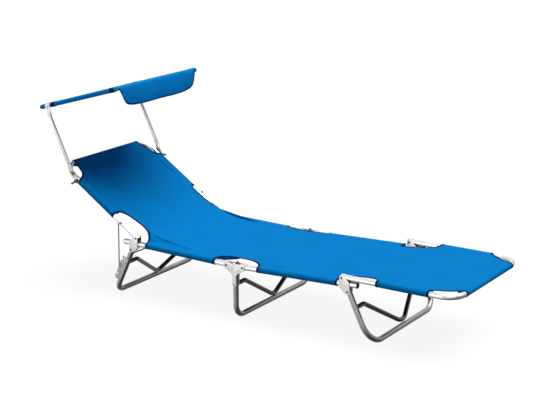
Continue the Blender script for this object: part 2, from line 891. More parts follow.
@dataclass
class LegFrame:
    """A bent leg with the brace that drops from its posts to the bottom rail."""

    section: str
    origin_height: float
    length: float
    brace_drop: float
    brace_inner: float
    brace_outer: float
    vertex_bend: float
    bend: float = 0.05
    rod_drop: float | None = None
    sizes: TubeSizes = field(default_factory=TubeSizes)
    overrun: float = 0.011
    brace_radius: float = 0.009
    brace_wall: float = 0.0011
    shelf: float = 0.062
    knee_bend: float = 0.026
    rod_radius: float = 0.003
    rivet_depth: float = 0.005

    def brace(self, layout: Layout) -> BentTube:
        """The brace's path on the leg's own axes."""
        start, knee = layout.rail_y - self.brace_inner - self.sizes.gap, layout.rail_y - self.shelf
        lowest = -self.length + self.sizes.radius + self.brace_radius + self.sizes.gap
        fall = -self.brace_drop - lowest
        rise = self.vertex_bend * (1 / math.cos(math.atan2(fall, knee)) - 1)
        drop = -self.brace_drop
        return BentTube(self.brace_radius, self.brace_wall, [
            (0, -start, drop), (0, -knee, drop), (0, 0, lowest - rise), (0, knee, drop), (0, start, drop)],
            (self.knee_bend, self.vertex_bend, self.knee_bend), sides=26, step=6.0)

    def rivets(self, layout: Layout) -> list[Piece]:
        """The rivets that hold the brace, one on each side."""
        made = []
        start, face = layout.rail_y - self.brace_inner - self.sizes.gap, layout.rail_y + self.brace_outer
        base, deep = face + self.sizes.gap, start - self.rivet_depth
        for side in SIDES:
            rivet = turned("brace_rivet", [(0, deep), (RIVET.shank, deep), (RIVET.shank, base),
                                           *reversed(dome(RIVET.head, base, RIVET.rise, 1))])
            rivet.data.transform(moved(0, 0, -self.brace_drop) @ half_turn(side))
            made.append(rivet)
        return made

    def build(self, layout: Layout, fitter: Fitter) -> None:
        """Bend the leg and its brace and set them in place."""
        s, y = self.sizes, layout.rail_y
        where = layout[self.section]
        if self.origin_height:
            where = Bearing(where.at(0, 0, self.origin_height), where.out, where.up)
        corners = [(0, -y, self.overrun), (0, -y, -self.length), (0, y, -self.length), (0, y, self.overrun)]
        tube = BentTube(s.radius, s.wall, corners, (self.bend, self.bend), sides=30, step=6.0).build("leg")
        parts = [tube, *self.rivets(layout)]
        if self.rod_drop is not None:
            parts.append(BentTube(self.rod_radius, 0, [(0, -y, -self.rod_drop), (0, y, -self.rod_drop)],
                                  sides=18).build("cross_rod"))
        tube = join(parts, f"{self.section}_tube")
        tube.data.transform(where.matrix)
        fitter.fit(tube, self.section, f"{self.section}_tube", "leg_metal")
        brace = self.brace(layout).build(f"{self.section}_brace", where)
        fitter.fit(brace, self.section, f"{self.section}_brace", "brace_metal")


@dataclass
class MiddleBrackets:
    """The two-eared brackets on the middle leg, with the pins of both halves."""

    sizes: TubeSizes = field(default_factory=TubeSizes)
    ear_height: float = 0.2165
    top_rise: float = 0.012
    top_dip: float = 0.002
    end_margin: float = 0.010
    ear_depth: float = 0.011
    stem_half: float = 0.0085
    stem_bottom: float = 0.136
    waist: float = 0.184
    corner: float = 0.010
    stem_rivet: float = 0.1695
    boss_rise: float = 0.0095
    boss_radius: float = 0.0034

    def outline(self, layout: Layout) -> list[Point]:
        """The bracket's outline on the middle leg's axes."""
        end = layout.ear_half_spacing + self.end_margin
        top, low, c = self.ear_height + self.top_rise, self.ear_height - self.ear_depth, self.corner
        half, waist, foot = self.stem_half, self.waist, self.stem_bottom
        return rounded([
            (-end, top, c), (-end, low, c), (-half, waist, c), (-half, foot, c / 2), (half, foot, c / 2),
            (half, waist, c), (end, low, c), (end, top, c), (0, top - self.top_dip, c)])

    def build(self, layout: Layout, fitter: Fitter) -> None:
        """Stamp the brackets, rivet them and set the ear pins."""
        s, where = self.sizes, layout["middle_leg"]
        low, high = s.inner_face, s.outer_face
        plate = stamped("bracket", self.outline(layout), low, high)
        stem = Rivet().build(-high, high - 2 * s.gap)
        stem.data.transform(moved(0, 0, self.stem_rivet))
        boss = Rivet().wide(self.boss_radius).build(-high, high - 2 * s.gap)
        boss.data.transform(moved(0, 0, self.ear_height + self.boss_rise))
        outer = join([copy_of(plate, "outer_bracket"), stem, boss], "outer_bracket")
        pin = Rivet().build(-high - s.gap, high + s.gap)
        for side in SIDES:
            label = where.side_name(side)
            base = where.matrix @ moved(0, side * layout.rail_y, 0)
            made = [
                (outer, Matrix.Diagonal((1, side, 1, 1)), f"bracket_{label}_outer", "zinc_plate"),
                (plate, Matrix.Diagonal((1, -side, 1, 1)), f"bracket_{label}_inner", "zinc_plate"),
                (pin, moved(-layout.ear_half_spacing, 0, self.ear_height), f"seat_ear_pin_{label}",
                 "rivet_metal"),
                (pin, moved(layout.ear_half_spacing, 0, self.ear_height), f"middle_ear_pin_{label}",
                 "rivet_metal"),
            ]
            for pattern, matrix, node, finish in made:
                fitter.fit(copy_of(pattern, node, base @ matrix), "middle_leg", node, finish)
        discard(plate, outer, pin)


@dataclass
class BackrestProp:
    """The toothed racks on the head leg and the stays that hook into them."""

    sizes: TubeSizes = field(default_factory=TubeSizes)
    thickness: float = 0.002
    start: float = 0.043
    length: float = 0.109
    inner_reach: float = 0.007
    outer_reach: float = 0.024
    first_notch: float = 0.017
    pitch: float = 0.035
    across: float = 0.0175
    half_width: float = 0.004
    mouth_rise: float = 20.0
    wire: float = 0.003
    wire_offset: float = 0.019
    eye: float = 0.008
    eye_thickness: float = 0.0024
    wire_bend: float = 0.0045

    def outline(self) -> list[Point]:
        """The rack's outline on the head leg's axes."""
        low = -(self.start + self.length)
        rise = math.tan(math.radians(self.mouth_rise)) * (self.outer_reach - self.across)
        half = self.half_width
        inner, outer = self.inner_reach, self.outer_reach
        corners = [(-inner, -self.start, 0.002), (-inner, low + inner, 0.002), (0, low, 0.003),
                   (outer - inner, low, 0.003), (outer, low + inner, 0.002)]
        for i in (2, 1, 0):
            z = -(self.start + self.first_notch + i * self.pitch)
            corners += [(self.outer_reach, z - half + rise, 0.0012), (self.across, z - half, 0.0018),
                        (self.across - half, z, 0.003), (self.across, z + half, 0.0018),
                        (self.outer_reach, z + half + 2 * rise, 0.0012)]
        corners += [(self.outer_reach, -self.start - self.inner_reach / 2, 0.002),
                    (self.outer_reach - self.inner_reach, -self.start, 0.003)]
        return rounded(corners, 3)

    def stay(self, layout: Layout, side: int) -> Piece:
        """The bent wire of one side, with its eye at the top."""
        y = side * (layout.rail_y + self.wire_offset)
        foot = side * (layout.rail_y + self.sizes.inner_face + self.thickness + self.sizes.gap)
        down = -layout.stay_length
        rod = BentTube(self.wire, 0, [(0, y, -0.0063), (0, y, down), (0, foot, down)],
                       (self.wire_bend,), sides=18).build("stay_rod")
        half, hole, rim, inner, outer = self.eye_thickness / 2, 0.0025, self.eye, 0.0003, 0.0006
        eye = turned("stay_eye", [
            (hole, -half + inner), (hole + inner, -half), (rim - outer, -half), (rim, -half + outer),
            (rim, half - outer), (rim - outer, half), (hole + inner, half), (hole, half - inner),
            (hole, -half + inner)])
        eye.data.transform(moved(0, y, 0))
        return join([rod, eye], "stay")

    def pins(self, layout: Layout) -> list[Piece]:
        """The pins of the stays, riveted through the backrest's tube."""
        made = []
        y, gap = layout.rail_y, self.sizes.gap
        eye_in, eye_out = (y + self.wire_offset + way * self.eye_thickness / 2 for way in SIDES)
        low, collar, high = y - self.sizes.radius + gap, y + self.sizes.radius - gap, eye_out + gap
        head, shank, rise = RIVET.head, RIVET.shank, RIVET.rise
        for side in SIDES:
            pin = turned("stay_pin", [
                *dome(head, low, rise, -1), (shank, low), (shank, collar), (head, collar),
                (head, eye_in - gap), (shank, eye_in - gap), (shank, high),
                *reversed(dome(head, high, rise, 1))])
            pin.data.transform(layout["backrest"].matrix
                               @ moved(layout.stay_station, 0, 0) @ half_turn(side))
            made.append(pin)
        return made

    def build(self, layout: Layout, fitter: Fitter) -> None:
        """Set the racks and the stays on both sides."""
        low = self.sizes.inner_face
        leg, hang = layout["head_leg"], layout["stay"]
        rack = stamped("rack", self.outline(), low, low + self.thickness)
        for side in SIDES:
            label = leg.side_name(side)
            base = leg.matrix @ moved(0, side * layout.rail_y, 0) @ Matrix.Diagonal((1, side, 1, 1))
            fitter.fit(copy_of(rack, f"rack_{label}", base), "head_leg", f"rack_{label}", "rack_zinc")
            stay = self.stay(layout, side)
            stay.data.transform(hang.matrix)
            fitter.fit(stay, f"stay_{label}", f"stay_{label}", "zinc_wire")
        discard(rack)


@dataclass
class CanopyArms:
    """The arms that carry the canopy, with their bolts and wing nuts on the backrest."""

    sizes: TubeSizes = field(default_factory=TubeSizes)
    radius: float = 0.008
    wall: float = 0.0011
    flat_thickness: float = 0.003
    flat_half: float = 0.011
    flat_length: float = 0.022
    taper: float = 0.026
    margin: float = 0.010
    bolt: float = 0.003
    hub: float = 0.0072
    hub_height: float = 0.009
    span: float = 0.020
    blade: float = 0.0070
    blade_rise: float = 0.009
    turns: Point = (25.0, 70.0)
    thread_length: float = 0.0125
    thread_pitch: float = 0.001

    def plane(self, layout: Layout) -> float:
        """The y of the arms' inner faces."""
        return layout.rail_y + self.sizes.inner_face

    def section_at(self, z: float, length: float) -> tuple[float, float]:
        """Half width and thickness of the arm at a height from its lower hole."""
        reach = min(z, length - z)
        if reach < 0:
            share = math.sqrt(max(0.0, 1 - (reach / -self.margin) ** 2))
            return max(0.0022, self.flat_half * share), self.flat_thickness
        t = clamp((reach - self.flat_length) / self.taper)
        t = t * t * (3 - 2 * t)
        return self.flat_half + (self.radius - self.flat_half) * t, self.flat_thickness + (
            2 * self.radius - self.flat_thickness) * t

    def arm(self, layout: Layout) -> Piece:
        """A tube pressed flat at both ends, drawn up from its lower hole."""
        length, sides = layout.arm_length, 28
        end = [-self.margin, -0.0094, -0.008, -0.006, -0.003, 0.0, 0.012, self.flat_length]
        stations = end + [self.flat_length + self.taper * k / 8 for k in range(1, 9)]
        stations += [length - z for z in reversed(stations)]
        deselect()
        bpy.ops.mesh.primitive_circle_add(vertices=sides, radius=self.radius, fill_type="NOTHING",
                                          location=(0, 0, stations[0]))
        arm = bpy.context.object
        bpy.ops.object.transform_apply(location=True, rotation=True, scale=True)
        edit(arm)
        for a, b in zip(stations, stations[1:]):
            bpy.ops.mesh.extrude_region_move(TRANSFORM_OT_translate={"value": (0, 0, b - a)})
        close_skin(arm, capped=True)
        plane = self.plane(layout)
        for vertex in arm.data.vertices:
            half, thick = self.section_at(vertex.co.z, length)
            angle = math.atan2(vertex.co.y, vertex.co.x)
            square = (2 * self.radius - thick) / (2 * self.radius - self.flat_thickness)
            power = 2 / (2 + 5 * square)
            c, s = math.cos(angle), math.sin(angle)
            vertex.co.x = half * math.copysign(abs(c) ** power, c)
            vertex.co.y = plane + thick / 2 + thick / 2 * math.copysign(abs(s) ** power, s)
        return settle(arm, "arm", 50.0)

    def wing_nut(self, layout: Layout) -> Piece:
        """A hub with a bore and two leaning wings."""
        base = self.plane(layout) + self.flat_thickness + self.sizes.gap
        top = base + self.hub_height
        bore, hub = self.bolt + 0.0003, self.hub
        body = turned("hub", [
            (bore, base), (hub + 0.0008, base), (hub + 0.0008, base + 0.0016), (hub, base + 0.0022),
            (hub - 0.0004, top - 0.0008), (hub - 0.0012, top), (bore + 0.0003, top), (bore, top - 0.0003),
            (bore, base)], 28)
        rise, span = self.blade_rise, self.span
        outline = rounded([
            (bore + 0.001, base + self.hub_height / 4, 0.0), (hub, base + self.hub_height / 4, 0.002),
            (span * 0.8, base + self.hub_height * 0.45, 0.006), (span, top + rise * 0.35, 0.006),
            (span - 0.002, top + rise, 0.004), (span - hub, top + rise, 0.004),
            (hub * 0.9, top + rise * 0.3, 0.004), (bore + 0.001, top - 0.0006, 0.0)], 4)
        wing = stamped("wing", outline, -self.blade / 2, self.blade / 2, 0.0016)
        wing.data.transform(Matrix(((1, 0, 0, 0), (0, 0, 1, 0), (0, -1, 0, 0), (0, 0, 0, 1))))
        twin = copy_of(wing, "wing", Matrix.Rotation(math.pi, 4, "Y"))
        return join([body, wing, twin], "wing_nut")

    def bolt_piece(self, layout: Layout) -> Piece:
        """The bolt, with a round head inside the tube and a thread that ends past the nut."""
        low = layout.rail_y - self.sizes.inner_face
        high = self.plane(layout) + self.flat_thickness + self.hub_height + 0.002
        thread = []
        y, pitch = high - self.thread_length, self.thread_pitch
        while y < high - 0.0008:
            thread += [(self.bolt, y), (self.bolt - 0.00045, y + pitch / 2)]
            y += pitch
        return turned("bolt", [*dome(2 * self.bolt, low, self.bolt, -1), (self.bolt, low), *thread,
                               (self.bolt - 0.0003, high - 0.0005), (self.bolt - 0.0008, high), (0, high)])

    def build(self, layout: Layout, fitter: Fitter) -> None:
        """Set the arms, bolts and wing nuts on both sides."""
        where, seat = layout["canopy_arms"], layout["backrest"]
        arm, nut, bolt = self.arm(layout), self.wing_nut(layout), self.bolt_piece(layout)
        for side in SIDES:
            label = where.side_name(side)
            flip = Matrix.Diagonal((side, side, 1, 1))
            turn = half_turn(side)
            fitter.fit(copy_of(arm, "arm", where.matrix @ flip), "canopy_arms", f"canopy_arm_{label}",
                       "arm_tube")
            on_tube = seat.matrix @ moved(layout.arm_station, 0, 0)
            wing = Matrix.Rotation(math.radians(self.turns[(side + 1) // 2]), 4, "Y")
            fitter.fit(copy_of(nut, "nut", on_tube @ wing @ turn), f"wing_nut_{label}", f"wing_nut_{label}",
                       "wing_metal")
            fitter.fit(copy_of(bolt, "bolt", on_tube @ turn), "backrest", f"arm_bolt_{label}", "rivet_metal")
        discard(arm, nut, bolt)


@dataclass
class CanopyHoop:
    """The canopy's bent tube with the pins that join it to the arms."""

    sizes: TubeSizes = field(default_factory=TubeSizes)
    tail: float = 0.040
    reach: float = 0.358
    half: float = 0.267
    radius: float = 0.008
    wall: float = 0.001
    front: float = 0.012
    rear: float = 0.0095
    butt: float = 0.0003
    pin: float = 0.003
    pin_head: float = 0.0056
    inner_rise: float = 0.002

    def build(self, layout: Layout, fitter: Fitter, arms: CanopyArms) -> None:
        """Bend the hoop and set it in place with its pins."""
        where, y = layout["canopy"], self.half
        hoop = BentTube(self.radius, self.wall, [
            (self.tail, -self.butt, 0), (self.tail, -y, 0), (-self.reach, -y, 0), (-self.reach, y, 0),
            (self.tail, y, 0), (self.tail, self.butt, 0)], (self.rear, self.front, self.front, self.rear),
            sides=26, step=6.0).build("hoop")
        gap = self.sizes.gap
        low, collar = y - self.radius, y + self.radius
        plane = arms.plane(layout)
        high = plane + arms.flat_thickness + gap
        parts = [hoop]
        for side in SIDES:
            pin = turned("pin", [
                *dome(RIVET.head, low + gap, self.inner_rise, -1), (self.pin, low + gap),
                (self.pin, collar - gap), (self.pin_head, collar - gap), (self.pin_head, plane - gap),
                (self.pin, plane - gap), (self.pin, high),
                *reversed(dome(self.pin_head, high, RIVET.rise, 1))])
            pin.data.transform(half_turn(side))
            parts.append(pin)
        hoop = join(parts, "hoop")
        hoop.data.transform(where.matrix)
        fitter.fit(hoop, "canopy", "canopy_frame", "bright_tube")


# Cloth


@dataclass(frozen=True)
class Sleeve:
    """How a cloth wraps a tube: round it and back up to its own underside."""

    radius: float
    reach: float
    meet: float

    @property
    def leave(self) -> float:
        """The angle, outward from the top, at which the cloth leaves the tube."""
        toward = math.atan2(self.meet, -self.reach)
        touch = toward + math.acos(self.radius / math.hypot(self.reach, self.meet))
        return math.pi / 2 + (2 * math.pi - touch)

    @property
    def tail(self) -> float:
        """The length of the straight part that runs back up."""
        return math.sqrt(self.reach ** 2 + self.meet ** 2 - self.radius ** 2)

    @property
    def total(self) -> float:
        """The cloth that one sleeve takes past the top of its tube."""
        return self.radius * self.leave + self.tail

    def round_tube(self, past: float) -> Point:
        """The place of a point of the cloth.

        Args:
            past: How far it lies past the top of the tube, along the cloth.

        Returns:
            How far outward and how high it is from the tube's axis.
        """
        angle = past / self.radius
        if angle <= self.leave:
            return self.radius * math.sin(angle), self.radius * math.cos(angle)
        end = self.leave
        extra = past - self.radius * end
        outward, height = self.radius * math.sin(end), self.radius * math.cos(end)
        return outward + extra * math.cos(end), height - extra * math.sin(end)


@dataclass
class LongProfile:
    """The line of the cloth's middle from end to end, and the line of its sleeves below or above it."""

    points: list[Vector]
    rail: Callable[[Vector], tuple[Vector, Vector] | None] | None = None

    def __post_init__(self) -> None:
        """Measure the line and find its upward normals and the sleeve beside each point."""
        array = np.array([(p.x, p.y) for p in self.points])
        steps = np.linalg.norm(np.diff(array, axis=0), axis=1)
        self.array = array[np.concatenate([[True], steps > 1e-7])]
        steps = np.linalg.norm(np.diff(self.array, axis=0), axis=1)
        self.stations = np.concatenate([[0.0], np.cumsum(steps)])
        tangent = np.gradient(self.array, self.stations, axis=0)
        tangent /= np.linalg.norm(tangent, axis=1)[:, None]
        self.normals = np.stack([-tangent[:, 1], tangent[:, 0]], axis=1)
        self.rail_array, self.rail_normals = self.array.copy(), self.normals.copy()
        for i, point in enumerate(self.array):
            found = self.rail(Vector(point)) if self.rail else None
            if found:
                self.rail_array[i], self.rail_normals[i] = found

    @property
    def length(self) -> float:
        """The whole length of the line."""
        return float(self.stations[-1])

    def find(self, point: Vector) -> float:
        """The station of the line's point nearest to a place."""
        return float(self.stations[np.argmin(np.hypot(*(self.array - np.array(point[:2])).T))])

    def find_x(self, x: float) -> float:
        """The station at an x between the two end bars."""
        first, last = int(np.argmin(self.array[:, 0])), int(np.argmax(self.array[:, 0]))
        return float(np.interp(x, self.array[first:last + 1, 0], self.stations[first:last + 1]))

    def at(self, station: float, on_rail: bool = False) -> tuple[Vector, Vector]:
        """The place and the normal at a station, of the middle or of the sleeve."""
        places, normals = (self.rail_array, self.rail_normals) if on_rail else (self.array, self.normals)
        spot = [np.interp(station, self.stations, places[:, k]) for k in (0, 1)]
        way = Vector([np.interp(station, self.stations, normals[:, k]) for k in (0, 1)]).normalized()
        return Vector(spot), way


@dataclass
class Edge:
    """A stretch of a pattern's side: its flat points, and whether a tape binds it."""

    points: list[Point]
    bound: bool


def sewn_mesh(name: str, places: Sequence[Vector], faces: Iterable[Sequence[int]],
              flats: Sequence[Point]) -> Piece:
    """A piece of cloth as an object, with its flat pattern as a UV map.

    Args:
        name: The piece's name.
        places: Where its points are worn.
        faces: The points of each face.
        flats: Where each point is on the flat pattern.

    Returns:
        The piece, without thickness.
    """
    mesh = bpy.data.meshes.new(name)
    mesh.from_pydata(places, [], [tuple(face) for face in faces])
    flat_map = mesh.uv_layers.new(name=PATTERN_MAP)
    for loop in mesh.loops:
        flat_map.data[loop.index].uv = flats[loop.vertex_index]
    piece = bpy.data.objects.new(name, mesh)
    bpy.context.collection.objects.link(piece)
    return piece


@dataclass
class ClothPattern:
    """A flat pattern and the way that it is worn."""

    profile: LongProfile
    side_sleeve: Sleeve
    half_width: float
    dip: Callable[[float, float], float]
    thickness: float = 0.0012
    step: float = 0.008
    slope_start: float = 0.232
    tape_step: float = 0.004
    grid_gap: float = 0.0022
    end_gap: float = 0.0015

    @property
    def full_half(self) -> float:
        """Half of the pattern's width, sleeves included."""
        return self.half_width + self.side_sleeve.total

    def worn(self, along: float, across: float) -> Vector:
        """Where a point of the flat pattern lies on the lounger."""
        side = 1.0 if across >= 0 else -1.0
        past = abs(across) - self.half_width
        rail, rail_up = self.profile.at(along, on_rail=True)
        if past <= 0:
            spot, up = self.profile.at(along)
            spot = spot - up * self.dip(along, across)
            share = clamp((abs(across) - self.slope_start) / (self.half_width - self.slope_start))
            spot = spot.lerp(rail, share * share * (3 - 2 * share))
            return Vector((spot.x, across, spot.y))
        sleeve = self.side_sleeve
        outward, height = sleeve.round_tube(past)
        place = rail + rail_up * (height - sleeve.radius)
        sewn = min(1.0, (past - sleeve.radius * sleeve.leave) / sleeve.tail)
        if sewn > 0:
            under = self.worn(along, self.half_width - sleeve.reach)
            low = sleeve.meet - sleeve.radius + 1.3 * self.thickness
            place += (Vector((under.x, under.z)) - rail - rail_up * low) * sewn
        return Vector((place.x, side * (self.half_width + outward), place.y))

    def normal(self, along: float, across: float) -> Vector:
        """The outer normal of the worn cloth at a flat point."""
        e = 0.0006
        du = self.worn(along + e, across) - self.worn(along - e, across)
        dv = self.worn(along, across + e) - self.worn(along, across - e)
        return du.cross(dv).normalized()

    def rows(self) -> list[float]:
        """The across values of the pattern's own grid, the same for each piece."""
        half, full = self.half_width, self.full_half
        inner = np.linspace(0, half, int(half / self.step) + 1)
        turn = half + self.side_sleeve.radius * self.side_sleeve.leave
        around = np.linspace(half, turn, 15)[1:]
        last = np.linspace(turn, full, 5)[1:]
        positive = np.concatenate([inner, around, last])
        return [float(v) for v in np.concatenate([-positive[:0:-1], positive])]

    def cut(self, name: str, sides: Sequence[Edge]) -> Piece:
        """Cut one piece and put it on the lounger.

        Args:
            name: The piece's name.
            sides: The edges of its positive side, in order along the bed.

        Returns:
            The worn cloth with its flat pattern as a UV map.
        """
        right = [p for edge in sides for p in edge.points]
        right = [p for i, p in enumerate(right) if i == 0 or math.dist(p, right[i - 1]) > 1e-6]
        rows = np.array(self.rows())
        start, end = right[0], right[-1]
        across_end = [(end[0], q) for q in rows if abs(q) < end[1] - self.end_gap]
        across_start = [(start[0], q) for q in rows if abs(q) < start[1] - self.end_gap]
        left = [(p, -q) for p, q in right if q > 1e-6]
        outline = right + across_end[::-1] + left[::-1] + across_start
        hull = np.array(outline)
        low, high = hull[:, 0].min(), hull[:, 0].max()
        columns = np.linspace(low, high, max(3, int((high - low) / self.step)))
        grid = np.array([(p, q) for p in columns for q in rows])
        a, b = hull, np.roll(hull, -1, axis=0)
        span = b - a
        offset = grid[:, None, :] - a[None]
        t = np.clip((offset * span).sum(-1) / np.maximum((span ** 2).sum(-1), 1e-12), 0, 1)
        away = np.linalg.norm(offset - t[..., None] * span, axis=-1).min(axis=1)
        grid = grid[away > self.grid_gap]
        flat = [Vector(p) for p in outline] + [Vector(p) for p in grid]
        ring = list(range(len(outline)))
        verts, _, faces, *_ = delaunay_2d_cdt(flat, [], [ring], 1, 1e-7)
        x, y = hull[:, 0], hull[:, 1]
        self.area = abs(float(np.sum(x * np.roll(y, -1) - np.roll(x, -1) * y))) / 2
        self.flat_size = (2 * float(hull[:, 1].max()), float(high - low))
        cloth = sewn_mesh(name, [self.worn(v.x, v.y) for v in verts], faces, [(v.x, v.y) for v in verts])
        mesh = cloth.data
        middle = mesh.polygons[len(mesh.polygons) // 2]
        near = verts[mesh.loops[middle.loop_start].vertex_index]
        if middle.normal.dot(self.normal(near.x, near.y)) < 0:
            mesh.flip_normals()
        finish_with(cloth, "SOLIDIFY", thickness=self.thickness, offset=0.0)
        return settle(cloth, name, 50.0)

    def bind(self, name: str, edges: Iterable[Edge], width: float = 0.009,
             proud: float = 0.0006) -> Piece:
        """Fold tape over the bound edges, on both sides of the pattern.

        Args:
            name: The piece's name.
            edges: The edges of the positive side.
            width: How far the tape reaches in from the edge.
            proud: How far it stands above the cloth.

        Returns:
            The tape as one object.
        """
        verts: list[Vector] = []
        faces: list[tuple[int, ...]] = []
        flats: list[Point] = []
        rise = self.thickness / 2 + proud
        low = -self.thickness / 2 - proud * 0.5
        ring = [
            (width, self.thickness / 2 + 0.0001), (width - 0.0006, rise), (0.0004, rise),
            (-0.0006, rise * 0.5), (-0.0008, 0.0), (-0.0006, low * 0.5), (0.0004, low),
            (width - 0.0006, low), (width, -self.thickness / 2 - 0.0001)]
        for edge in edges:
            if not edge.bound:
                continue
            path = [Vector(edge.points[0])]
            for point in edge.points[1:]:
                gap = Vector(point) - path[-1]
                count = max(1, int(gap.length / self.tape_step))
                if gap.length > 1e-6:
                    path += [path[-1] + gap * (k / count) for k in range(1, count + 1)]
            for mirror in SIDES:
                base, run = len(verts), 0.0
                for i, here in enumerate(path):
                    way = (path[min(i + 1, len(path) - 1)] - path[max(i - 1, 0)]).normalized()
                    into = Vector((way.y, -way.x))
                    run += (here - path[i - 1]).length if i else 0.0
                    for depth, height in ring:
                        spot = here + into * depth
                        across = mirror * spot.y
                        verts.append(self.worn(spot.x, across) + self.normal(spot.x, across) * height)
                        flats.append((run, depth if height > 0 else 2 * width - depth))
                n = len(ring)
                for i in range(len(path) - 1):
                    for j in range(n):
                        a, b = base + i * n + j, base + i * n + (j + 1) % n
                        quad = (a, b, b + n, a + n)
                        faces.append(quad if mirror > 0 else quad[::-1])
                for end, order in ((base, 1), (base + (len(path) - 1) * n, -1)):
                    cap = tuple(range(end, end + n))[::-order]
                    faces.append(cap if mirror > 0 else cap[::-1])
        tape = sewn_mesh(name, verts, faces, flats)
        edit(tape)
        bpy.ops.mesh.normals_make_consistent(inside=False)
        bpy.ops.object.mode_set(mode="OBJECT")
        return settle(tape, name, 50.0)

    def strip(self, name: str, lines: Sequence[Sequence[Point]], height: float) -> Piece:
        """A loose layer on both sides, between rows of flat points, at a height over the cloth."""
        verts, faces, n = [], [], len(lines[0])
        for mirror in SIDES:
            base = len(verts)
            for line in lines:
                for along, across in line:
                    here = mirror * across
                    verts.append(self.worn(along, here) + self.normal(along, here) * height)
            for i in range(len(lines) - 1):
                for j in range(n - 1):
                    a = base + i * n + j
                    faces.append((a, a + 1, a + n + 1, a + n)[::mirror])
        piece = sewn_mesh(name, verts, faces, [point for _ in SIDES for line in lines for point in line])
        finish_with(piece, "SOLIDIFY", thickness=self.thickness, offset=0.0)
        return settle(piece, name, 50.0)

    def declare(self, cloth: Piece, node: str) -> None:
        """Put a worn sheet in a CAD node's place, with its flat size, and report it.

        Args:
            cloth: The sheet that was cut last from this pattern.
            node: The node that it stands for.
        """
        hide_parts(node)
        LOG.info("%s: flat %.0f x %.0f mm, area %.4f m2", cloth.name, self.flat_size[0] / MM,
                 self.flat_size[1] / MM, self.area)


def line_points(a: Vector, b: Vector, step: float = 0.004) -> list[Vector]:
    """Points on a straight, both ends included."""
    count = max(1, math.ceil((b - a).length / step))
    return [a.lerp(b, k / count) for k in range(count + 1)]


def through(places: Sequence[Vector], count: int = 6) -> list[Vector]:
    """A smooth curve through places, with a number of steps in each gap."""
    made = [places[0].copy()]
    for i in range(len(places) - 1):
        a, b = places[i], places[i + 1]
        before = places[i - 1] if i else a * 2 - b
        after = places[i + 2] if i + 2 < len(places) else b * 2 - a
        for k in range(1, count + 1):
            t = k / count
            made.append((a * 2 + (b - before) * t + (before * 2 - a * 5 + b * 4 - after) * t ** 2
                         + (a * 3 - before - b * 3 + after) * t ** 3) / 2)
    return made


def refine(points: Sequence[Point], step: float = 0.008) -> list[Point]:
    """The same line with more points on its long straights."""
    made = [points[0]]
    for a, b in zip(points, points[1:]):
        count = max(1, math.ceil(math.dist(a, b) / step))
        made += [(a[0] + (b[0] - a[0]) * k / count, a[1] + (b[1] - a[1]) * k / count)
                 for k in range(1, count + 1)]
    return made


def split(edges: Sequence[Edge], low: float, high: float) -> list[Edge]:
    """The part of a pattern's side between two stations."""
    made = []
    for edge in edges:
        points: list[Point] = []
        for a, b in zip(edge.points, edge.points[1:]):
            pa, pb = a[0], b[0]
            if max(pa, pb) < low - 1e-9 or min(pa, pb) > high + 1e-9:
                continue
            ends = []
            for p, q in (a, b):
                t = 0.0 if pb == pa else (min(max(p, low), high) - pa) / (pb - pa)
                ends.append((min(max(p, low), high), a[1] + (b[1] - a[1]) * t) if pb != pa else (p, q))
            if not points or math.dist(points[-1], ends[0]) > 1e-7:
                points.append(ends[0])
            if math.dist(ends[0], ends[1]) > 1e-7:
                points.append(ends[1])
        if len(points) > 1:
            made.append(Edge(points, edge.bound))
    return made


@dataclass(frozen=True)
class ClothLength:
    """One length of the sling, with the two bodies that it spans.

    Its start and end are where it leaves the first body and reaches the second, as x and z from
    the hinge between them.
    """

    name: str
    first: str
    second: str
    start: Point
    end: Point
    rests_on: str


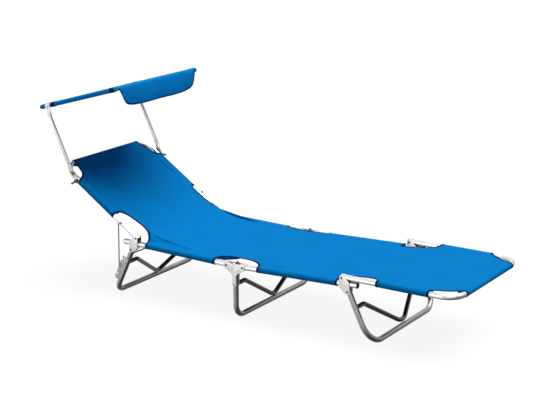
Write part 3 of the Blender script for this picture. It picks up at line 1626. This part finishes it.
@dataclass
class BedCloth:
    """The sling: one long cloth, sewn into sleeves round the rails and the two end bars.

    Its middle bridges the crease of the backrest, the dip at the middle leg and the step up to the
    foot section. These runs are x and z in metres, from the backrest's pin, from the middle of the
    bed at ear height and from the foot section's pin. The cut-outs are x, from the middle of the
    bed, and y; those of the corners are the station along the bent tube, and y.
    """

    sleeve: Sleeve = Sleeve(0.012, 0.034, 0.0088)
    sag: float = 0.004
    head_half: float = 0.211
    foot_half: float = 0.200
    seam: float = 0.2
    middle_height: float = 0.2275
    lengths: tuple[ClothLength, ...] = (
        ClothLength("backrest", "backrest", "seat", (-0.07, 0.04), (0.05, -0.01), "backrest_tube"),
        ClothLength("seat", "seat", "middle_leg", (-0.15, 0.23), (-0.03, 0.23), "seat_rail_near"),
        ClothLength("middle", "middle_leg", "middle", (0.03, 0.23), (0.15, 0.23), "middle_rail_near"),
        ClothLength("foot", "middle", "foot", (-0.04, 0.25), (0.11, 0.26), "middle_rail_near"),
    )
    crease_run: tuple[Point, ...] = (
        (-0.2796, 0.1966), (-0.2396, 0.1704), (-0.1996, 0.1462), (-0.1596, 0.124), (-0.1096, 0.0973),
        (-0.0596, 0.0707), (-0.0096, 0.044), (0.0166, 0.0303), (0.0404, 0.0187), (0.0654, 0.0085),
        (0.1004, -0.0025), (0.1404, -0.0106), (0.1904, -0.0162))
    valley_run: tuple[Point, ...] = (
        (-0.2296, 0.0171), (-0.1896, 0.0167), (-0.1496, 0.0173), (-0.1096, 0.0186), (-0.0696, 0.02),
        (-0.0096, 0.0206), (0.0404, 0.0206), (0.0804, 0.0202), (0.1204, 0.019), (0.1604, 0.0178),
        (0.2004, 0.0172), (0.2404, 0.0179))
    ramp_run: tuple[Point, ...] = (
        (-0.2096, -0.0181), (-0.1596, -0.0167), (-0.1096, -0.015), (-0.0596, -0.0128), (-0.0206, -0.0104),
        (0.0024, -0.0083), (0.0234, -0.006), (0.0454, -0.0038), (0.0704, -0.0013), (0.1044, 0.0022),
        (0.1404, 0.0052), (0.1804, 0.0076), (0.2304, 0.0091), (0.2904, 0.0093))
    crease_cut: tuple[Point, ...] = (
        (-0.5756, 0.262), (-0.5706, 0.251), (-0.5616, 0.245), (-0.5456, 0.2385), (-0.5246, 0.2345),
        (-0.5046, 0.2325), (-0.4796, 0.2315), (-0.4646, 0.2325), (-0.4526, 0.235), (-0.4426, 0.239),
        (-0.4356, 0.2445), (-0.4296, 0.252), (-0.4266, 0.261))
    valley_cut: tuple[Point, ...] = (
        (-0.0906, 0.262), (-0.0856, 0.254), (-0.0756, 0.247), (-0.0616, 0.2405), (-0.0476, 0.236),
        (-0.0296, 0.2335), (-0.0046, 0.233), (0.0204, 0.233), (0.0424, 0.2345), (0.0604, 0.238),
        (0.0754, 0.243), (0.0874, 0.25), (0.0954, 0.258), (0.0994, 0.265))
    ramp_cut: tuple[Point, ...] = (
        (0.4484, 0.258), (0.4484, 0.246), (0.4524, 0.236), (0.4614, 0.228), (0.4734, 0.2235),
        (0.4904, 0.222), (0.5164, 0.2225), (0.5414, 0.2235), (0.5584, 0.226), (0.5754, 0.231),
        (0.5884, 0.238), (0.5984, 0.247), (0.6054, 0.257))
    cut_ends: tuple[float, ...] = (-0.5766, -0.4256, -0.0926, 0.1004, 0.4499, 0.6099)
    head_corner: tuple[Point, ...] = (
        (0.436, 0.2125), (0.421, 0.217), (0.403, 0.225), (0.382, 0.234), (0.368, 0.243), (0.361, 0.252),
        (0.355, 0.262), (0.349, 0.274))
    foot_corner: tuple[Point, ...] = (
        (0.351, 0.27), (0.354, 0.262), (0.361, 0.255), (0.379, 0.242), (0.404, 0.227), (0.428, 0.2135),
        (0.445, 0.2055))
    flap_corners: int = 7
    flap_width: float = 0.030
    edge_zone: Point = (0.14, 0.08)
    head_corner_lift: float = 0.006
    head_corner_place: Point = (0.072, 0.028)
    foot_corner_drop: float = 0.003
    foot_corner_place: Point = (0.05, 0.04)

    def profile(self, layout: Layout) -> LongProfile:
        """The line of the cloth's middle, from under the head bar to under the foot bar."""
        r = self.sleeve.radius

        def spot(name: str, along: float, rise: float) -> Vector:
            """A place of a section in the xz plane."""
            place = layout[name].at(along, 0, rise)
            return Vector((place.x, place.z))

        def bar(name: str, length: float) -> list[Vector]:
            """The cloth round an end bar, from its top to its end under the sheet."""
            turns = [self.sleeve.round_tube(self.sleeve.total * k / 40) for k in range(41)]
            return [spot(name, length + outward, height) for outward, height in turns]

        pin, foot_pin = spot("backrest", 0, 0), spot("foot", 0, 0)
        valley = Vector((layout.centre_x, spot("seat", 0, 0).y))
        head_top, foot_top = spot("backrest", BACKREST_LENGTH, r), spot("foot", FOOT_LENGTH, r)
        runs = [[origin + Vector(place) for place in places] for origin, places in (
            (pin, self.crease_run), (valley, self.valley_run), (foot_pin, self.ramp_run))]
        inner = through([head_top.lerp(runs[0][0], 0.5), *runs[0], *runs[1], *runs[2],
                         runs[2][-1].lerp(foot_top, 0.5)])

        def rail(point: Vector) -> tuple[Vector, Vector] | None:
            """The top of the sleeve beside a point of the middle, and the way up there."""
            if not head_top.x < point.x < foot_top.x:
                return None
            bounds = ((pin.x - 0.02, "backrest"), (valley.x, "seat"), (foot_pin.x + 0.06, "middle"),
                      (math.inf, "foot"))
            where = layout[next(name for end, name in bounds if point.x < end)]
            along = (point.x - where.origin.x - where.up.x * r) / where.out.x
            place = where.at(along, 0, r)
            return Vector((place.x, place.z)), Vector((where.up.x, where.up.z))

        points = bar("backrest", BACKREST_LENGTH)[::-1] + line_points(head_top, inner[0]) + inner
        points += line_points(inner[-1], foot_top) + bar("foot", FOOT_LENGTH)
        line = LongProfile(points, rail)
        self.head_top, self.foot_top = line.find(head_top), line.find(foot_top)
        return line

    def sides(self, line: LongProfile, layout: Layout, full: float) -> list[Edge]:
        """The positive side of the flat pattern, from the head to the foot."""
        ends = [line.find_x(layout.centre_x + x) for x in self.cut_ends]

        def corner(name: str, places: Sequence[Point]) -> list[Point]:
            """Flat points of a corner cut-out, from stations on a bent tube."""
            where = layout[name]
            return [(line.find_x(where.at(station, 0, self.sleeve.radius).x), y) for station, y in places]

        def cut_out(start: float, end: float, places: Sequence[Point]) -> Edge:
            """The bound edge of one cut-out."""
            inner = [(line.find_x(layout.centre_x + x), y) for x, y in places]
            inner = [(min(max(x, start), end), y) for x, y in inner]
            path = [(start, full), (start, layout.rail_y), *inner, (end, layout.rail_y), (end, full)]
            return Edge(path, True)

        head, foot = corner("backrest", self.head_corner), corner("foot", self.foot_corner)
        first, last = head[-1][0], foot[0][0]
        bar_a, bar_b = self.head_top + 0.004, self.foot_top - 0.004
        return [
            Edge([(0, self.head_half), (bar_a, self.head_half), *head, (first, full)], True),
            Edge([(first, full), (ends[0], full)], False),
            cut_out(ends[0], ends[1], self.crease_cut),
            Edge([(ends[1], full), (ends[2], full)], False),
            cut_out(ends[2], ends[3], self.valley_cut),
            Edge([(ends[3], full), (ends[4], full)], False),
            cut_out(ends[4], ends[5], self.ramp_cut),
            Edge([(ends[5], full), (last, full)], False),
            Edge([(last, full), *foot, (bar_b, self.foot_half), (line.length, self.foot_half)], True),
        ]

    def dip(self, layout: Layout) -> Callable[[float, float], float]:
        """How far the cloth hangs below its middle line."""
        y = layout.rail_y
        (lift_at, lift_spread), (drop_at, drop_spread) = self.head_corner_place, self.foot_corner_place

        def bell(value: float, middle: float, spread: float) -> float:
            """1 at the middle, falling off on both sides."""
            return math.exp(-((value - middle) / spread) ** 2)

        def depth(along: float, across: float) -> float:
            """The drop at one flat point."""
            from_head = (along - self.head_top) / BACKREST_LENGTH
            from_foot = (self.foot_top - along) / FOOT_LENGTH
            fade = 1 - (1 - clamp(from_head)) ** 4
            fade *= 1 - (1 - clamp(from_foot)) ** 4
            drop = self.sag * fade * (1 - min(1.0, abs(across) / y) ** 2)
            side = clamp((abs(across) - self.edge_zone[0]) / self.edge_zone[1])
            drop -= self.head_corner_lift * side * bell(along, self.head_top + lift_at, lift_spread)
            drop += self.foot_corner_drop * side * bell(along, self.foot_top - drop_at, drop_spread)
            return drop

        return depth

    def flap(self, pattern: ClothPattern, layout: Layout) -> Piece:
        """The tape's turned-in end under the head-side corner of the middle cut-out."""
        outer = refine(self.valley_cut[:self.flap_corners], 0.004)
        start, end = outer[0][0], outer[-1][0]
        lines = []
        for x, y in outer:
            station = pattern.profile.find_x(layout.centre_x + x)
            far = min(outer[0][1] + 0.001, y + self.flap_width * math.sqrt((end - x) / (end - start)))
            near = y - 0.005
            lines.append([(station, near + (far - near) * k / 5) for k in range(6)])
        return pattern.strip("flap", lines, -1.2 * pattern.thickness)

    def build(self, layout: Layout, fitter: Fitter) -> None:
        """Cut, wear, bind and hang the four lengths of the cloth."""
        line = self.profile(layout)
        pattern = ClothPattern(line, self.sleeve, layout.rail_y, self.dip(layout))
        sides = self.sides(line, layout, pattern.full_half)
        centre = line.find(Vector((layout.centre_x, self.middle_height)))
        cuts = [0.0, centre - self.seam, centre, centre + self.seam, line.length]
        hinge, foot_hinge = layout["backrest"].origin, layout["foot"].origin
        origins = ((hinge.x, hinge.z), (layout.centre_x, 0), (layout.centre_x, 0), (foot_hinge.x, 0))
        for length, (x, z), low, high in zip(self.lengths, origins, cuts, cuts[1:]):
            part = split(sides, low, high)
            cloth = pattern.cut(f"{length.name}_cloth", part)
            tape = pattern.bind(f"{length.name}_edging", part)
            if length.name == "seat":
                tape = join([tape, self.flap(pattern, layout)], f"{length.name}_edging")
            fitter.dress(cloth, "blue_cloth")
            fitter.dress(tape, "navy_tape")
            for piece in (cloth, tape):
                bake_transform(piece)
            pattern.declare(cloth, f"{length.name}_sling")


@dataclass
class CanopyCloth:
    """The canopy's roof and valance, one cloth from the rear bar over the front bar to its hem."""

    sleeve: Sleeve = Sleeve(0.009, 0.026, 0.0070)
    sag: float = 0.012
    rear: float = -0.040
    front: float = 0.358
    half: float = 0.267
    rear_half: float = 0.250
    arm_gap: tuple[float, float] = (-0.012, 0.013)
    band_end: float = 0.354
    band: float = 0.022
    drop: float = 0.081
    hem: tuple[Point, ...] = (
        (0, 0.256), (0.0145, 0.25), (0.0308, 0.2425), (0.0453, 0.236), (0.0579, 0.228), (0.0665, 0.2175),
        (0.0724, 0.201), (0.0765, 0.178), (0.0789, 0.145), (0.0801, 0.1), (0.0805, 0.05), (0.0805, 0))
    swell: float = 0.010
    flare: float = -0.003
    wave: float = 0.002

    def corner(self, where: Bearing, forward: float, y: float) -> Piece:
        """The gathered end of a sleeve, drawn over one corner of the hoop."""
        deselect()
        bpy.ops.mesh.primitive_uv_sphere_add(segments=24, ring_count=14, radius=self.sleeve.radius)
        piece = bpy.context.object
        piece.data.uv_layers[0].name = PATTERN_MAP
        for loop in piece.data.uv_layers[0].data:
            loop.uv = loop.uv * (2 * math.pi * self.sleeve.radius)
        edit(piece)
        bpy.ops.mesh.inset(thickness=self.sleeve.radius * 0.02, use_individual=False)
        bpy.ops.object.mode_set(mode="OBJECT")
        piece.data.transform(Matrix.Translation(where.at(-forward, y, 0)))
        return settle(piece, "corner", 60.0)

    def build(self, layout: Layout, fitter: Fitter) -> None:
        """Cut, wear and bind the cloth."""
        where = layout["canopy"]
        r = self.sleeve.radius
        pitch = math.radians(layout.canopy_pitch)

        def spot(forward: float, rise: float) -> Vector:
            """A place of the canopy in the xz plane."""
            place = where.at(-forward, 0, rise)
            return Vector((place.x, place.z))

        points = []
        for k in range(41):
            outward, height = self.sleeve.round_tube(self.sleeve.total * (40 - k) / 40)
            points.append(spot(self.rear - outward, height))
        points += line_points(spot(self.rear, r), spot(self.front, r))
        for k in range(1, 15):
            angle = math.pi / 2 * k / 14
            points.append(spot(self.front + r * math.sin(angle), r * math.cos(angle)))
        ahead, down = Vector((math.cos(pitch), math.sin(pitch))), Vector((0.0, -1.0))
        begin = spot(self.front + r, 0)
        count = 24
        for k in range(1, count + 1):
            v = k / count
            points.append(begin + down * (self.drop * v) + ahead * (self.swell * math.sin(v * math.pi * 0.6)))
        line = LongProfile(points)
        rear_top, front_top = line.find(spot(self.rear, r)), line.find(spot(self.front, r))
        turn, span = line.find(begin), self.front - self.rear

        def dip(along: float, across: float) -> float:
            """How far the roof sags, and how the valance waves, at one flat point."""
            share = across / self.half
            if along <= front_top:
                u = clamp((along - rear_top) / span)
                return self.sag * (1 - (2 * u - 1) ** 2) * (1 - share ** 2)
            v = max(0.0, (along - turn) / (line.length - turn))
            return v * (self.wave * math.cos(share * math.pi * 3) - self.flare * share ** 4)

        pattern = ClothPattern(line, self.sleeve, self.half, dip, step=0.0075, slope_start=self.half - 0.001)
        full, near, cap = pattern.full_half, self.half - 0.008, self.half + r * math.pi / 2
        a, b = (rear_top - self.rear + x for x in self.arm_gap)
        tail = self.sleeve.tail
        hem = through([Vector((turn + x, y)) for x, y in self.hem], 5)
        hem = refine([(p.x, max(0.0, p.y)) for p in hem])
        sides = [
            Edge([(0, self.rear_half), (tail - 0.002, self.rear_half), (tail + 0.001, cap), (rear_top, cap),
                  (rear_top, full)], False),
            Edge([(rear_top, full), (a, full)], False),
            Edge([(a, full), (a, near), (b, near), (b, full)], True),
            Edge([(b, full), (front_top, full)], False),
            Edge([(front_top, full), (front_top, cap), (turn, cap), (turn, self.hem[0][1])], False),
            Edge(hem, True),
        ]
        cover = pattern.cut("canopy_cover", sides)
        corners = [self.corner(where, x, side * self.half) for x in (self.rear, self.front) for side in SIDES]
        cloth = join([cover, *corners], "canopy_cover")
        end = rear_top - self.rear + self.band_end
        bands = [Edge([(b, near), (b, full)], True), Edge([(end, full), (end, near)], True)]
        tape = join([pattern.bind("canopy_edging", sides, width=0.006),
                     pattern.bind("canopy_bands", bands, width=self.band, proud=0.0009)], "canopy_edging")
        for piece, finish in ((cloth, "canopy_cloth"), (tape, "navy_tape")):
            fitter.dress(piece, finish)
            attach(piece, "canopy")
        pattern.declare(cloth, "canopy_cloth")


# Studio


@dataclass
class Studio:
    """A plain pale floor, soft light and the camera."""

    eye: tuple[float, float, float] = (2.94734, -4.62547, 1.87403)
    azimuth: float = 32.36
    elevation: float = 15.14
    lens: float = 94.24
    room_light: float = 0.06
    floor_colour: Colour = (0.14, 0.14, 0.14, 1.0)
    floor_glow: float = 0.905
    floor_side: float = 60.0
    lamps: tuple[tuple[str, float, float, float, float], ...] = (
        ("key_light", 136.0, 74.0, 3.0, 56.0),
        ("fill_light", 46.0, 14.0, 0.34, 40.0),
        ("side_light", -22.0, 6.0, 0.62, 30.0),
    )

    def seen(self, tree: bpy.types.NodeTree) -> Socket:
        """A value of 1 for what the camera, a shine or a pane of glass shows."""
        path = tree.nodes.new("ShaderNodeLightPath")
        total = path.outputs["Is Camera Ray"]
        for name in ("Is Glossy Ray", "Is Transmission Ray"):
            step = tree.nodes.new("ShaderNodeMath")
            step.operation = "ADD"
            step.use_clamp = True
            tree.links.new(total, step.inputs[0])
            tree.links.new(path.outputs[name], step.inputs[1])
            total = step.outputs[0]
        return total

    def light_room(self) -> None:
        """White all round to the eye, and an even light on the lounger."""
        world = bpy.data.worlds.new("studio")
        bpy.context.scene.world = world
        world.use_nodes = True
        tree = world.node_tree
        ground = tree.nodes["Background"]
        ground.inputs["Color"].default_value = (1, 1, 1, 1)
        level = tree.nodes.new("ShaderNodeMapRange")
        level.inputs["To Min"].default_value = self.room_light
        level.inputs["To Max"].default_value = 1.0
        tree.links.new(self.seen(tree), level.inputs["Value"])
        tree.links.new(level.outputs["Result"], ground.inputs["Strength"])
        for name, bearing, height, strength, spread in self.lamps:
            deselect()
            turn = (math.radians(90 - height), 0, math.radians(bearing))
            bpy.ops.object.light_add(type="SUN", location=(0, 0, 3), rotation=turn)
            lamp = bpy.context.object
            lamp.name = name
            lamp.data.energy = strength
            lamp.data.angle = math.radians(spread)

    def lay_floor(self) -> None:
        """A wide pale floor that keeps the lounger's shadow."""
        g = Graph("pale_floor")
        cloud = g.noise(g.place(), 1.2)
        g.set(Base_Color=g.blend(cloud, shade_of(self.floor_colour, 0.99), self.floor_colour), Roughness=0.9,
              Specular_IOR_Level=0.0)
        glow = g.add("ShaderNodeEmission", {"Color": (1, 1, 1, 1)})
        strength = g.math("MULTIPLY", self.seen(g.tree), self.floor_glow)
        g.tree.links.new(strength, glow.inputs["Strength"])
        total = g.add("ShaderNodeAddShader", {0: g.shader.outputs[0], 1: glow.outputs[0]})
        g.tree.links.new(total.outputs[0], g.tree.nodes["Material Output"].inputs["Surface"])
        deselect()
        bpy.ops.mesh.primitive_plane_add(size=self.floor_side, location=(0, 0, 0))
        floor = bpy.context.object
        edit(floor)
        bpy.ops.mesh.subdivide(number_cuts=3)
        settle(floor, "studio_floor")
        floor.data.materials.append(g.material)

    def set_camera(self) -> None:
        """Stand the camera where the picture was taken from."""
        deselect()
        turn = (math.radians(90 - self.elevation), 0, math.radians(self.azimuth))
        bpy.ops.object.camera_add(location=self.eye, rotation=turn)
        camera = bpy.context.object
        camera.name = "camera"
        camera.data.lens = self.lens
        camera.data.sensor_width = 36.0
        camera.data.clip_end = 200.0
        bpy.context.scene.camera = camera
        bpy.context.scene.view_settings.view_transform = "Standard"

    def build(self) -> None:
        """Set up the whole studio."""
        self.set_camera()
        self.lay_floor()
        self.light_room()


def make_finishes() -> dict[str, bpy.types.Material]:
    """All finishes of the lounger by name."""
    blue = linear(2, 130, 206)
    finishes = [
        DrawnMetal("bright_tube", (0.74, 0.75, 0.76, 1), 0.22, 0.12),
        DrawnMetal("arm_tube", (0.68, 0.68, 0.68, 1), 0.26, 0.05),
        DrawnMetal("leg_metal", (0.36, 0.36, 0.365, 1), 0.24, 0.10),
        DrawnMetal("brace_metal", (0.11, 0.11, 0.115, 1), 0.26, 0.15),
        DrawnMetal("zinc_wire", (0.40, 0.40, 0.40, 1), 0.34),
        DrawnMetal("rivet_metal", (0.09, 0.09, 0.09, 1), 0.3),
        ZincPlate("zinc_plate", (0.66, 0.66, 0.65, 1), 0.38, 0.2),
        ZincPlate("rack_zinc", (0.34, 0.34, 0.335, 1), 0.4, 0.15),
        MouldedPlastic("black_plug", (0.006, 0.006, 0.007, 1), 0.75),
        ZincPlate("wing_metal", (0.085, 0.085, 0.085, 1), 0.42, 1.0),
        WovenCloth("blue_cloth", blue, seams_across=(0.235,)),
        WovenCloth("canopy_cloth", shade_of(blue, 1.25), seams_across=(0.241,)),
        RibbedTape("navy_tape", linear(4, 44, 96)),
    ]
    return {finish.name: finish.material() for finish in finishes}


def leg_frames(layout: Layout, sizes: TubeSizes) -> list[LegFrame]:
    """The three legs: the middle one is upright, and the other two lean outward."""
    pivot = layout["foot_leg"].origin.z
    lean = math.cos(math.radians(layout.leg_lean))
    leaning = {"origin_height": 0.0, "length": (pivot - sizes.radius) / lean,
               "brace_drop": (pivot - BRACE_HEIGHT) / lean, "brace_inner": sizes.radius}
    return [
        LegFrame("middle_leg", origin_height=0.193, length=0.182, brace_drop=0.050,
                 brace_inner=sizes.outer_face, brace_outer=sizes.outer_face, vertex_bend=0.045),
        LegFrame("head_leg", **leaning, brace_outer=sizes.outer_face, vertex_bend=0.034, rod_drop=0.024),
        LegFrame("foot_leg", **leaning, brace_outer=sizes.radius, vertex_bend=0.060, bend=0.085),
    ]


def main() -> None:
    """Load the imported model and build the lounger's looks piece by piece."""
    logging.basicConfig(level=logging.INFO, format="%(message)s")
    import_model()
    Studio().build()
    layout = Layout().read()
    fitter = Fitter(make_finishes())
    prop, arms = BackrestProp(), CanopyArms()
    middle_leg, head_leg, foot_leg = leg_frames(layout, TubeSizes())
    steps: list[tuple[str, Callable[[], None]]] = [
        ("head half", lambda: HalfFrame("seat", "head", "backrest", "head_leg").build(layout, fitter)),
        ("foot half", lambda: HalfFrame("middle", "foot", "foot", "foot_leg").build(layout, fitter)),
        ("backrest frame",
         lambda: SwingFrame("backrest", BACKREST_LENGTH).build(layout, fitter, prop.pins(layout))),
        ("foot frame", lambda: SwingFrame("foot", FOOT_LENGTH).build(layout, fitter)),
        ("middle leg", lambda: middle_leg.build(layout, fitter)),
        ("head leg", lambda: head_leg.build(layout, fitter)),
        ("foot leg", lambda: foot_leg.build(layout, fitter)),
        ("middle brackets", lambda: MiddleBrackets().build(layout, fitter)),
        ("backrest prop", lambda: prop.build(layout, fitter)),
        ("canopy arms", lambda: arms.build(layout, fitter)),
        ("canopy hoop", lambda: CanopyHoop().build(layout, fitter, arms)),
        ("bed cloth", lambda: BedCloth().build(layout, fitter)),
        ("canopy cloth", lambda: CanopyCloth().build(layout, fitter)),
    ]
    for label, make in steps:
        make()
        LOG.info("made: %s", label)


if __name__ == "__main__":
    main()
